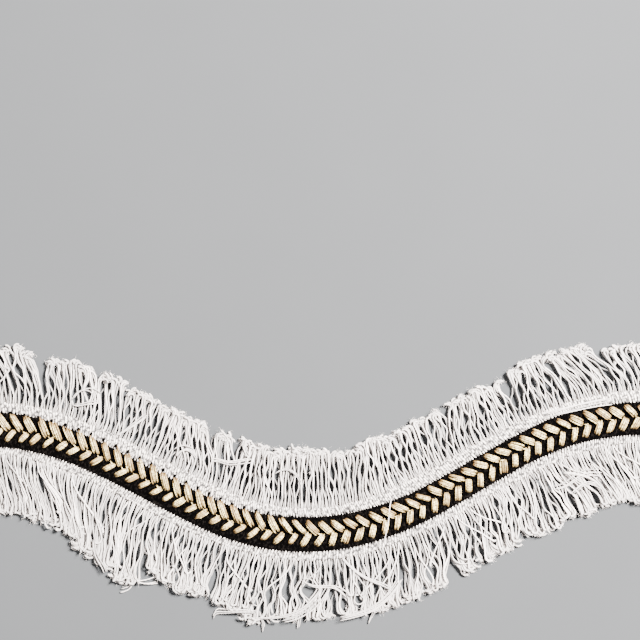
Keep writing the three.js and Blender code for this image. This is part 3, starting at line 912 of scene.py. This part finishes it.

# %% [markdown]
# ## Stray threads and loops
# A handful of yarns don't lie with the rest. One white thread has strayed right across the plait, and on
# the fringe some thin bundles lie across the others or have sprung into open loops. They are the marks by
# which one piece of trim differs from another, so they are placed one by one: a yarn by the points it passes,
# a loop by its centre and turn.

# %% Where the strays lie
STRAY_THREAD = np.array([
    # x, y and height
    (14.3, 7.5, 0.75), (14.15, 6.7, 1.05), (14.0, 5.8, 1.15), (13.85, 4.7, 1.4), (13.75, 3.4, 1.46),
    (13.6, 2.2, 1.4), (13.35, 1.0, 1.36), (13.1, -0.2, 1.15), (12.9, -1.2, 1.0), (12.75, -1.8, 0.75)])
LAID_YARNS = np.array([
    # six points on the table for each
    [(44.4, 23.9), (47.2, 24.7), (50.0, 25.4), (52.6, 26.0), (55.2, 26.6), (57.8, 26.9)],
    [(45.6, 23.8), (48.0, 24.4), (50.4, 25.0), (52.8, 25.6), (55.4, 26.2), (58.4, 26.6)],
    [(46.7, 9.2), (48.6, 9.5), (50.4, 11.0), (52.0, 12.2), (54.0, 12.7), (56.0, 12.5)],
    [(48.7, 12.3), (51.0, 12.2), (53.2, 11.8), (55.3, 10.8), (56.8, 9.4), (57.3, 7.8)],
    [(50.2, 8.2), (51.4, 9.2), (52.2, 10.2), (53.6, 10.6), (55.4, 10.2), (57.0, 8.8)],
    [(-13.0, -15.6), (-16.2, -15.3), (-18.0, -15.5), (-19.6, -15.6), (-21.2, -15.4), (-21.5, -16.5)],
    [(-38.6, -5.5), (-38.0, -7.6), (-37.4, -9.3), (-37.6, -10.5), (-38.6, -11.3), (-40.1, -11.7)],
    [(-36.9, -7.8), (-36.8, -9.2), (-36.2, -9.8), (-35.0, -9.9), (-33.8, -9.8), (-32.8, -9.5)],
    [(-45.3, -1.0), (-45.2, -2.6), (-44.8, -4.0), (-44.2, -5.2), (-43.4, -6.2), (-43.0, -7.4)],
    [(4.6, -4.6), (6.2, -6.4), (8.2, -8.0), (10.4, -9.2), (12.6, -9.8), (14.6, -11.0)],
    [(-41.6, 19.3), (-40.2, 20.0), (-38.9, 20.8), (-37.6, 21.7), (-36.2, 22.7), (-34.8, 23.8)],
    [(-49.6, 27.0), (-48.8, 28.2), (-47.6, 28.9), (-46.2, 29.2), (-45.0, 28.9), (-44.2, 28.1)],
    [(-49.4, 25.8), (-48.4, 25.6), (-47.4, 25.8), (-46.4, 26.1), (-45.4, 26.0), (-44.4, 26.3)],
    [(-28.6, 15.8), (-27.6, 16.8), (-26.6, 17.2), (-25.6, 17.0), (-24.8, 16.4), (-24.2, 15.5)],
    [(-21.8, 14.9), (-20.6, 15.3), (-19.2, 14.6), (-17.6, 14.4), (-15.6, 14.9), (-13.6, 15.1)],
    [(-14.2, 15.5), (-14.8, 16.5), (-15.1, 17.4), (-15.2, 18.2), (-15.1, 18.9), (-14.7, 19.2)],
    [(-8.8, 12.4), (-7.6, 13.2), (-6.4, 13.4), (-5.2, 12.8), (-4.4, 11.6), (-4.0, 10.2)],
    [(-3.4, -9.4), (-1.6, -10.4), (0.4, -10.6), (2.4, -10.2), (4.2, -11.0), (5.6, -12.4)],
    [(-14.4, -17.0), (-11.0, -17.0), (-7.4, -16.8), (-4.0, -15.8), (-1.4, -13.8), (0.8, -10.8)],
    [(-7.4, -17.3), (-5.6, -16.9), (-3.8, -16.0), (-2.0, -14.8), (-0.4, -13.2), (1.2, -10.4)],
    [(4.0, -16.9), (7.0, -16.2), (9.8, -15.3), (12.3, -13.8), (14.2, -11.8), (15.7, -9.4)],
    [(5.2, -16.4), (8.0, -15.6), (10.8, -14.6), (13.2, -13.0), (15.0, -11.0), (16.4, -8.8)],
    [(-12.2, -15.4), (-12.0, -16.2), (-11.8, -17.0), (-11.6, -17.8), (-11.5, -18.5), (-11.5, -19.2)],
    [(-3.2, -15.0), (-3.5, -15.8), (-3.8, -16.6), (-4.0, -17.4), (-4.2, -18.2), (-4.3, -19.0)],
    [(11.4, -14.4), (11.1, -15.0), (10.9, -15.6), (10.6, -16.2), (10.3, -16.9), (10.1, -17.6)]])
LOOPS = np.array([
    # x and y on the table, radius, the angle where it starts, and how far it turns, in degrees
    (-2.4, -9.8, 1.15, 215, -250), (-24.4, -10.6, 0.8, 60, 280), (-22.6, -9.3, 1.2, 120, 150),
    (28.6, -3.4, 2.3, 175, 120), (29.2, -3.2, 1.7, 185, 120), (-27.0, 15.2, 2.4, 30, 110),
    (7.8, -13.0, 0.9, 150, 230), (-12.6, -13.4, 0.9, 100, 240)])
print(len(LAID_YARNS), "laid yarns and", len(LOOPS), "loops")

# %% Lay the strays
STRAY_RINGS = 25
STRAY_SIDES = 6
STRAY_HALF = 0.115
LAID_COPIES = 3
DROPPED = [5, 6, 7, 22, 23, 24]  # the laid yarns that leave the mat and come down to the table
DROP = 0.75
LAID_HEIGHT = 0.95
LOOP_HEIGHT = 0.98


def smoothed(points, rounds):
    """Straight runs between the points, spaced evenly, each ring then drawn towards its two neighbours."""
    place = np.linspace(0, len(points) - 1, STRAY_RINGS)
    columns = np.asarray(points, float).T
    line = np.stack([np.interp(place, np.arange(len(points)), column) for column in columns], axis=-1)
    for _ in range(rounds):
        line[1:-1] = (line[:-2] + 2 * line[1:-1] + line[2:]) / 4
    return line


def stray_paths(rng):
    """The thread across the plait, then the laid yarns, each drawn a few times side by side, then the loops:
    a centre plus radius times the cosine and sine of an angle that turns evenly."""
    share = np.linspace(0, 1, STRAY_RINGS)
    plan = np.repeat([smoothed(points, 12) for points in LAID_YARNS], LAID_COPIES, axis=0)
    apart, splay = rng.normal(0, 0.22, (len(plan), 1, 2)), rng.normal(0, 0.3, (len(plan), 1, 2))
    plan = plan + apart + splay * share[:, None]
    drop = np.repeat(DROP * np.isin(np.arange(len(LAID_YARNS)), DROPPED), LAID_COPIES)[:, None]
    laid_height = LAID_HEIGHT + 0.15 * np.sin(np.pi * share) + rng.uniform(-0.06, 0.1, (len(plan), 1))
    laid_height = laid_height - drop * smooth_step(share, 0.1, 0.7)
    laid = np.concatenate([plan, laid_height[..., None]], axis=-1)
    x, y, radius, start, sweep = LOOPS.T[..., None]
    angle = np.radians(start + sweep * share)
    drift = 1 + 0.25 * share * rng.uniform(-1, 1, (len(LOOPS), 1))
    x, y = x + radius * drift * np.cos(angle), y + radius * drift * np.sin(angle)
    height = LOOP_HEIGHT + 0.14 * np.sin(np.pi * share) + rng.uniform(-0.06, 0.06, (len(LOOPS), 1))
    loops = np.stack([x, y, height], axis=-1)
    return np.concatenate([smoothed(STRAY_THREAD, 2)[None], laid, loops])


stray_lines = stray_paths(np.random.default_rng(41))
stray_taper = 1 - 0.55 * np.abs(np.linspace(-1, 1, STRAY_RINGS)) ** 8
stray_half = STRAY_HALF * stray_taper * np.ones((len(stray_lines), 1))
stray_tone = np.random.default_rng(42).uniform(0.35, 0.8, (len(stray_lines), 1))
stray_yarns = add_rods("stray_yarns", stray_lines, stray_half, stray_half, STRAY_SIDES, white_yarn,
                       tone=stray_tone)

# %% [markdown]
# ## Gold satin stitches
# A satin stitch is a few turns of thread laid side by side. Each turn comes up at the stitch's outer end,
# runs over to the middle of the band and goes down again, so a stitch is a low bundle of four strands that
# dip into the cloth at both ends. The two rows point the same way and meet as a plait. Towards the left the
# rows have been sewn a little higher, so the form of a stitch is given for both ends and mixed between
# them.

# %% Strands of the stitches
STRANDS = 4
STRAND_RINGS = 9
STRAND_HALF = 0.18
STITCH_FOOT = 0.62
STITCH_CROWN = 0.85
# outer end along and across, inner end along and across, width, then the share of that width at the outer and
# at the inner end, and the painted shade, in brown, where the thread turns down there
UPPER_STITCH = {"right": (-1.65, 2.62, 0.57, 0.40, 1.30, 0.45, 0.75, 0.95, 0.25),
                "left": (-2.25, 3.10, 0.15, 0.15, 1.35, 0.60, 0.80, 0.80, 0.25)}
LOWER_STITCH = {"right": (0.0, -2.25, 1.35, 0.15, 1.28, 0.80, 0.75, 0.55, 0.20),
                "left": (-0.05, -2.02, 1.55, 0.10, 1.13, 0.40, 0.60, 0.95, 0.10)}
DOUBLE_STITCH = 39.3  # where one lower stitch was sewn twice, side by side


def stitch_paths(stitch, rng):
    """Strands of one row of stitches, (stitches * strands, rings, 3), and how brown each ring is.

    Strands of one row of stitches, (stitches * strands, rings, 3), and the painted shade of each ring.
    bundle times the bundle's width there. The width runs from its share at each end to full as a root of
    1 - |s|^2.5, where s goes from -1 to 1. The height is foot + crown * (1 - |s|^3.2)."""
    stations = stitch_stations()
    count = len(stations)
    risen = plait_risen(stations)[:, None]
    form = np.array(stitch["right"]) * (1 - risen) + np.array(stitch["left"]) * risen
    station = np.stack([stations, plait_shift(stations)], axis=-1)
    outer = station + form[:, 0:2] + rng.normal(0, 0.10, (count, 2))
    inner = station + form[:, 2:4] + rng.normal(0, 0.08, (count, 2))
    width = form[:, 4] * rng.normal(1.0, 0.07, count)
    if stitch is LOWER_STITCH:
        width[np.abs(stations + 0.7 - DOUBLE_STITCH).argmin()] *= 1.5
    lengthwise = inner - outer
    sideways = np.stack([-lengthwise[:, 1], lengthwise[:, 0]], axis=-1)
    sideways /= np.linalg.norm(sideways, axis=1, keepdims=True)

    share = np.linspace(0, 1, STRAND_RINGS)
    s = 2 * share - 1
    ends = np.where(s < 0, form[:, 5:6], form[:, 6:7])
    narrow = ends + (1 - ends) * np.sqrt(1 - np.abs(s) ** 2.5)
    place = (np.arange(STRANDS) - (STRANDS - 1) / 2) / ((STRANDS - 1) / 2)
    offset = (width / 2 - STRAND_HALF)[:, None, None] * place[:, None] * narrow[:, None]
    each = (count, STRANDS, 1)
    offset = offset + rng.normal(0, 0.035, each) + rng.normal(0, 0.03, each) * s
    slip = rng.normal(0, 0.045, each)
    plan = (outer[:, None, None] + lengthwise[:, None, None] * (share + slip)[..., None]
            + sideways[:, None, None] * offset[..., None])
    x, y = on_tape(plan[..., 0], plan[..., 1])
    crown = STITCH_CROWN * (1 - 0.22 * place[:, None] ** 2) * (1 - np.abs(s) ** 3.2)
    z = STITCH_FOOT + crown + rng.normal(0, 0.035, each)
    # painted shade: brown where a strand turns down into the cloth at each end, and more on a bundle's outer
    # strands
    brown = form[:, 7:8] * (1 - smooth_step(share, 0.0, 0.36)) + form[:, 8:9] * smooth_step(share, 0.8, 1.0)
    brown = brown[:, None] * rng.uniform(0.5, 1.3, each) + 0.22 * np.abs(place[:, None]) ** 3
    paths = np.stack([x, y, z], axis=-1)
    return paths.reshape(-1, STRAND_RINGS, 3), np.clip(brown, 0, 1).reshape(-1, STRAND_RINGS)


# %% [markdown]
# ## Gold thread
# The thread is painted brown where it turns down, a painted shade, and cream where it lies flat. Noise that
# runs only along each strand breaks the cream up with flecks of painted shade, as the twist of a shiny thread
# does.

# %% Gold thread material
GOLD_DEEP = (0.26, 0.17, 0.065, 1)
GOLD_CREAM = (0.96, 0.765, 0.335, 1)
# painted shade: the flecks along a strand, its flanks, and its ends where it turns down
GOLD_FLECK_SHADE = (0.17, 0.104, 0.038, 1)
GOLD_FLANK_SHADE = (0.13, 0.083, 0.034, 1)
GOLD_TURN_SHADE = (0.12, 0.063, 0.021, 1)
FLECK_CELLS = 2.6  # a millimetre of thread


def make_gold_thread():
    """Cream gold by each strand's tone, then painted shade: flecked, darker down its flanks and brown at its
    ends.
    """
    material, tree, shader = new_material("gold_embroidery_thread", Roughness=0.42, Sheen_Weight=0.0,
                                          Specular_IOR_Level=0.4)
    ply, fibre = twisted(tree, Lay=1.9, Plies=2.0, Fibre_Scale=7.0)
    length = own_map(tree)[0]
    flecks = add_node(tree, "ShaderNodeTexNoise", {"W": times(tree, length, FLECK_CELLS),
                                                   "Scale": 1.0, "Detail": 1.5}, noise_dimensions="1D")
    toned = blend_colour(tree, attribute_value(tree, "tone"), GOLD_DEEP, GOLD_CREAM)
    flecked = times(tree, faded(tree, flecks.outputs["Fac"], start=0.44, end=0.58), 0.92)
    streaked = blend_colour(tree, flecked, toned, GOLD_FLECK_SHADE)
    # painted shade down the strand's flanks
    flank_painted_shade = placed(tree, flank_group, Level=0.93, Steep=0.55, Amount=0.75)["Shade"]
    shaded = blend_colour(tree, flank_painted_shade, streaked, GOLD_FLANK_SHADE)
    colour = blend_colour(tree, attribute_value(tree, "brown"), shaded, GOLD_TURN_SHADE)
    tree.links.new(colour, shader.inputs["Base Color"])
    raise_surface(tree, shader, arithmetic(tree, "ADD", ply, fibre), distance=0.04)
    return material


gold_thread = make_gold_thread()
print(gold_thread.name, "has", len(gold_thread.node_tree.nodes), "nodes")

# %% [markdown]
# ## Sew the rows
# Where the thread passes from an upper stitch to the next lower one, a short end shows between the rows.
# Then come the two rows. Each stitch and each strand has its own brightness.

# %% Ends between the rows
STRAND_SIDES = 5
ANCHOR_HALF = 0.12
ANCHOR_SHARE = 0.65  # of the stitches, those that show an end
ANCHOR_RUN = (0.85, -0.38)  # along the tape and across it


def anchor_paths(rng):
    """Straight runs that start near the upper stitches' inner ends and bow up by a half sine."""
    stations = stitch_stations()
    stations = stations[rng.random(len(stations)) < ANCHOR_SHARE]
    share = np.linspace(0, 1, STRAND_RINGS)
    along = stations[:, None] + 0.45 + rng.normal(0, 0.1, (len(stations), 1)) + ANCHOR_RUN[0] * share
    start = 0.42 - 0.25 * plait_risen(stations) + plait_shift(stations) + rng.normal(0, 0.06, len(stations))
    x, y = on_tape(along, start[:, None] + ANCHOR_RUN[1] * share)
    return np.stack([x, y, 0.8 + 0.38 * np.sin(np.pi * share) * np.ones_like(x)], axis=-1)


anchor_lines = anchor_paths(np.random.default_rng(33))
anchor_half = np.full(anchor_lines.shape[:2], ANCHOR_HALF)
plait_anchors = add_rods("plait_anchors", anchor_lines, anchor_half, anchor_half, STRAND_SIDES, gold_thread,
                         tone=0.9, brown=0.0)


# %% Two rows of stitches
def add_stitches(name, stitch, rng):
    """One row of stitches as one piece."""
    paths, brown = stitch_paths(stitch, rng)
    half = np.full(paths.shape[:2], STRAND_HALF)
    of_strand = rng.normal(0.62, 0.42, (len(paths), 1))
    of_stitch = np.repeat(rng.normal(0, 0.08, len(paths) // STRANDS), STRANDS)[:, None]
    tone = np.clip(of_strand + of_stitch, 0, 1)
    return add_rods(name, paths, half, half, STRAND_SIDES, gold_thread, tone=tone, brown=brown)


upper_stitches = add_stitches("upper_stitches", UPPER_STITCH, np.random.default_rng(31))
lower_stitches = add_stitches("lower_stitches", LOWER_STITCH, np.random.default_rng(32))

# %% [markdown]
# ## Table and light
# The floor is a plain grey that looks pale under the strong lamp, but it is far darker than the cotton, so
# that the fringe stands out on it. One soft lamp stands on the upper right, a much weaker one fills in from
# the left, and the sky is dim.

# %% Floor
FLOOR_HALF = 700.0
FLOOR_DROP = 0.02
FLOOR_GREYS = ((0.054, 0.0545, 0.0555, 1), (0.059, 0.0595, 0.0605, 1))


def make_floor_material():
    """A matt grey with a very faint unevenness."""
    material, tree, shader = new_material("pale_floor", Roughness=0.95, Specular_IOR_Level=0.1)
    where = add_node(tree, "ShaderNodeTexCoord").outputs["Object"]
    cloud = add_node(tree, "ShaderNodeTexNoise", {"Vector": where, "Scale": 40.0, "Detail": 4.0})
    tree.links.new(blend_colour(tree, cloud.outputs["Fac"], *FLOOR_GREYS), shader.inputs["Base Color"])
    return material


floor_corners = np.array([(-1, -1), (1, -1), (1, 1), (-1, 1)], float)
floor_points = np.concatenate([floor_corners * FLOOR_HALF, np.full((4, 1), -FLOOR_DROP)], axis=1)
floor = add_piece("floor", {"points": floor_points, "faces": [np.array([[0, 1, 2, 3]])], "uv": floor_corners},
                  make_floor_material())


# %% Lamps and sky
SKY_COLOUR = (0.93, 0.95, 1.0, 1)
SKY_STRENGTH = 0.22


def add_lamp(name, place, size, power):
    """A square soft lamp at a place in millimetres, turned to the trim."""
    data = bpy.data.lights.new(name, "AREA")
    data.shape = "SQUARE"
    data.size = size * MM
    data.energy = power
    lamp = bpy.data.objects.new(name, data)
    lamp.location = [c * MM for c in place]
    towards = -lamp.location
    lamp.rotation_euler = towards.to_track_quat("-Z", "Y").to_euler()
    bpy.context.scene.collection.objects.link(lamp)
    return lamp


add_lamp("key_lamp", place=(450, 340, 500), size=200, power=103)
add_lamp("fill_lamp", place=(-480, 180, 560), size=420, power=6)
world = bpy.data.worlds.new("dim_studio")
world.use_nodes = True
background = world.node_tree.nodes["Background"]
background.inputs["Color"].default_value = SKY_COLOUR
background.inputs["Strength"].default_value = SKY_STRENGTH
bpy.context.scene.world = world
print(len(bpy.data.lights), "lamps")

# %% [markdown]
# ## What each piece stands for
# The new pieces take the place of the imported solids, which are plainer and are hidden. The tape, a sheet
# of cloth, and the yarns and stitches with it are joined to one body, so all of it moves as one.

# %% Hide the solids and join the pieces to one body
for piece, slot, nodes in [
    (woven_tape, "black_cotton", ["ground_band"]),
    (upper_yarns, "white_cotton", ["fringe_upper"]),
    (lower_yarns, "white_cotton", ["fringe_lower"]),
    (upper_fluff, "white_cotton", []),
    (lower_fluff, "white_cotton", []),
    (stray_yarns, "white_cotton", []),
    (plait_anchors, "gold_thread", []),
    (upper_stitches, "gold_thread", ["gold_stitching"]),
    (lower_stitches, "gold_thread", ["gold_stitching"]),
]:
    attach(piece, "root")
    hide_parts(*nodes)
